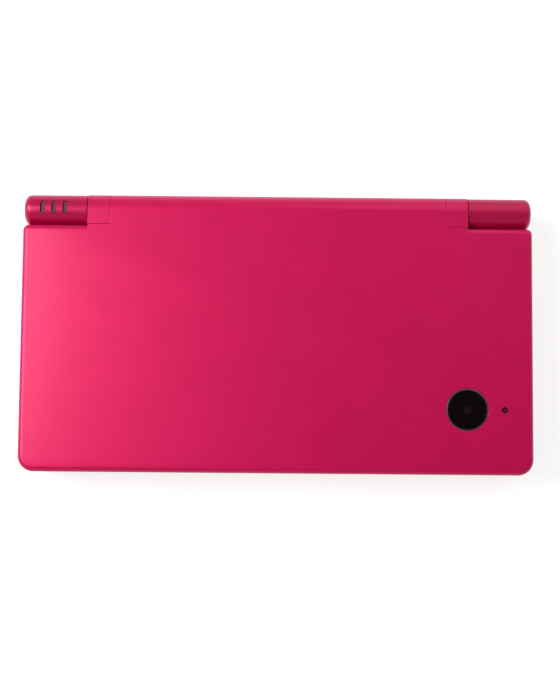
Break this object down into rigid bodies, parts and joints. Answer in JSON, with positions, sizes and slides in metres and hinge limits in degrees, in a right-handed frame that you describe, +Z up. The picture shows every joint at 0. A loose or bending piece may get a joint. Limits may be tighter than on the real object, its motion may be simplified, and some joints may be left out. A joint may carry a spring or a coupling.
{
  "type": "clamshell handheld game console",
  "caption": "Slim clamshell handheld game console with a hinged lid, an outer camera, barrel hinge ends and rounded corners.",
  "frame": {"origin": "under the middle of the closed case, on the surface that its feet stand on", "axes": "+Z up, +Y towards the hinge, +X to the right as the lid faces the viewer"},
  "size_m": [0.137, 0.075, 0.0189],
  "materials": {
    "shell_pink": "satin moulded plastic",
    "inner_pink": "matte moulded plastic",
    "button_pink": "smooth moulded plastic",
    "screen_glass": "glossy clear cover, dark behind",
    "display": "dark panel",
    "camera_ring": "glossy",
    "dark_plastic": "matte",
    "foot_rubber": "matte",
    "pad_rubber": "matte",
    "board": "solder-masked board",
    "steel": "plain",
    "grey_plastic": "smooth",
    "light_guide": "clear light guide",
    "battery": "wrapped cell",
    "flex": "copper film"
  },
  "bodies": {
    "base": {"base_lower_shell": "shell_pink", "battery_cover": "shell_pink", "base_upper_shell": "inner_pink", "touch_panel": "screen_glass", "lower_display": "display", "game_card_slot": "dark_plastic", "headphone_jack": "dark_plastic", "volume_switch": "dark_plastic", "trigger_switch_left": "dark_plastic", "trigger_switch_right": "dark_plastic", "foot_front_left": "foot_rubber", "foot_front_right": "foot_rubber", "foot_rear_left": "foot_rubber", "foot_rear_right": "foot_rubber", "button_membrane": "pad_rubber", "main_board": "board", "case_screw_front_left": "steel", "case_screw_front_right": "steel", "case_screw_rear_left": "steel", "case_screw_rear_right": "steel", "cover_screw_left": "steel", "cover_screw_right": "steel", "wireless_board": "steel", "memory_card_socket": "steel", "charge_port": "steel", "hinge_click_unit": "steel", "stylus_tube": "grey_plastic", "hinge_bush": "grey_plastic", "status_light_guide": "light_guide", "battery_pack": "battery"},
    "lid": {"lid_outer_cover": "shell_pink", "lid_inner_frame": "inner_pink", "upper_display_lens": "screen_glass", "upper_display": "display", "speaker_left": "dark_plastic", "speaker_right": "dark_plastic", "outer_camera_ring": "camera_ring", "outer_camera_window": "screen_glass", "outer_camera_module": "dark_plastic", "indicator_light_guide": "light_guide", "inner_camera": "screen_glass", "microphone": "steel", "display_flex": "flex"},
    "pad_rubber": {"pad_rubber": "pad_rubber"},
    "direction_pad": {"direction_pad": "button_pink"},
    "button_east": {"button_east": "button_pink"},
    "button_south": {"button_south": "button_pink"},
    "button_north": {"button_north": "button_pink"},
    "button_west": {"button_west": "button_pink"},
    "start_button": {"start_button": "button_pink"},
    "select_button": {"select_button": "button_pink"},
    "power_button": {"power_button": "button_pink"},
    "volume_rocker": {"volume_rocker": "button_pink"},
    "left_trigger": {"left_trigger": "button_pink"},
    "right_trigger": {"right_trigger": "button_pink"},
    "stylus": {"stylus": "button_pink"},
    "memory_card_door": {"memory_card_door": "shell_pink"}
  },
  "joints": [
    {"name": "lid_hinge", "type": "hinge", "parent": "base", "child": "lid", "pos_m": [0, 0.03315, 0.0146], "axis": [-1, 0, 0], "range_deg": [0, 155]},
    {"name": "pad_rock_forward", "type": "hinge", "parent": "base", "child": "pad_rubber", "pos_m": [-0.052, 0.004, 0.00745], "axis": [1, 0, 0], "range_deg": [-3, 3], "stiffness_Nm_per_rad": 0.2},
    {"name": "pad_rock_sideways", "type": "hinge", "parent": "pad_rubber", "child": "direction_pad", "pos_m": [-0.052, 0.004, 0.00745], "axis": [0, 1, 0], "range_deg": [-3, 3], "stiffness_Nm_per_rad": 0.2},
    {"name": "button_east_press", "type": "slide", "parent": "base", "child": "button_east", "axis": [0, 0, -1], "range_m": [0, 0.0006], "stiffness_N_per_m": 400},
    {"name": "button_south_press", "type": "slide", "parent": "base", "child": "button_south", "axis": [0, 0, -1], "range_m": [0, 0.0006], "stiffness_N_per_m": 400},
    {"name": "button_north_press", "type": "slide", "parent": "base", "child": "button_north", "axis": [0, 0, -1], "range_m": [0, 0.0006], "stiffness_N_per_m": 400},
    {"name": "button_west_press", "type": "slide", "parent": "base", "child": "button_west", "axis": [0, 0, -1], "range_m": [0, 0.0006], "stiffness_N_per_m": 400},
    {"name": "start_button_press", "type": "slide", "parent": "base", "child": "start_button", "axis": [0, 0, -1], "range_m": [0, 0.0006], "stiffness_N_per_m": 400},
    {"name": "select_button_press", "type": "slide", "parent": "base", "child": "select_button", "axis": [0, 0, -1], "range_m": [0, 0.0006], "stiffness_N_per_m": 400},
    {"name": "power_button_press", "type": "slide", "parent": "base", "child": "power_button", "axis": [0, 0, -1], "range_m": [0, 0.0006], "stiffness_N_per_m": 400},
    {"name": "volume_rock", "type": "hinge", "parent": "base", "child": "volume_rocker", "pos_m": [-0.0674, 0.016, 0.0046], "axis": [0, 0, 1], "range_deg": [-2.5, 2.5], "stiffness_Nm_per_rad": 0.1},
    {"name": "left_trigger_press", "type": "hinge", "parent": "base", "child": "left_trigger", "pos_m": [-0.046, 0.0331, 0.006], "axis": [0, 0, 1], "range_deg": [0, 2], "stiffness_Nm_per_rad": 0.4},
    {"name": "right_trigger_press", "type": "hinge", "parent": "base", "child": "right_trigger", "pos_m": [0.046, 0.0331, 0.006], "axis": [0, 0, -1], "range_deg": [0, 2], "stiffness_Nm_per_rad": 0.4},
    {"name": "stylus_slide", "type": "slide", "parent": "base", "child": "stylus", "axis": [1, 0, 0], "range_m": [0, 0.095]},
    {"name": "memory_door_swing", "type": "hinge", "parent": "base", "child": "memory_card_door", "pos_m": [0.0678, 0.02475, 0.00405], "axis": [0, 0, 1], "range_deg": [0, 90]}
  ]
}
